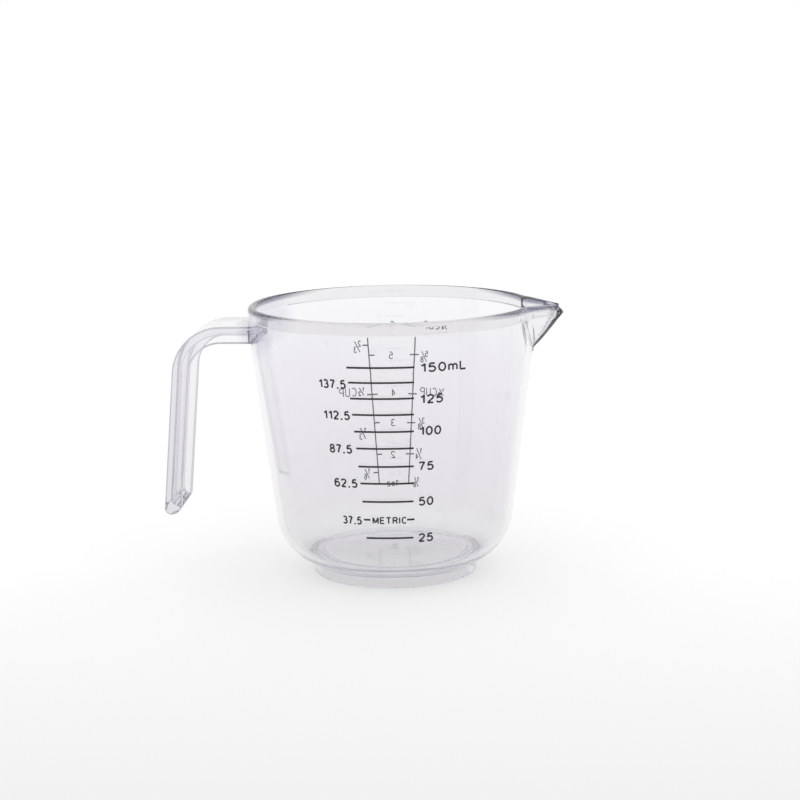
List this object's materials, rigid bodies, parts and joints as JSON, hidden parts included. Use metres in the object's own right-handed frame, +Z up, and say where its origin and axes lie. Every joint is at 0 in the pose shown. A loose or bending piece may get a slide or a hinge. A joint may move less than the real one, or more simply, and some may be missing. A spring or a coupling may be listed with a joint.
{
  "type": "measuring cup",
  "caption": "Small clear plastic measuring cup with a V-shaped pouring spout, a hooked channel handle and printed volume scales, for measuring and pouring kitchen liquids.",
  "frame": {"origin": "middle of the footprint box of handle, bowl and spout, on the table plane", "axes": "+Z up, the spout points to +X, the handle to -X, and the millilitre scale faces -Y"},
  "size_m": [0.0988, 0.0706, 0.0672],
  "materials": {
    "clear_plastic": "clear, glossy, with a faint lilac tint in thick places",
    "black_ink": "thin opaque black print",
    "grey_ink": "thin dark grey print"
  },
  "bodies": {
    "root": {"bowl": "clear_plastic", "foot_ring": "clear_plastic", "rim_band": "clear_plastic", "pouring_spout": "clear_plastic", "handle": "clear_plastic", "bar_150_ml": "black_ink", "bar_137_5_ml": "black_ink", "bar_125_ml": "black_ink", "bar_112_5_ml": "black_ink", "bar_100_ml": "black_ink", "bar_87_5_ml": "black_ink", "bar_75_ml": "black_ink", "bar_62_5_ml": "black_ink", "bar_50_ml": "black_ink", "bar_25_ml": "black_ink", "dash_37_5_ml_left": "black_ink", "dash_37_5_ml_right": "black_ink", "rear_rail_cups": "grey_ink", "rear_rail_ounces": "grey_ink"}
  },
  "joints": []
}
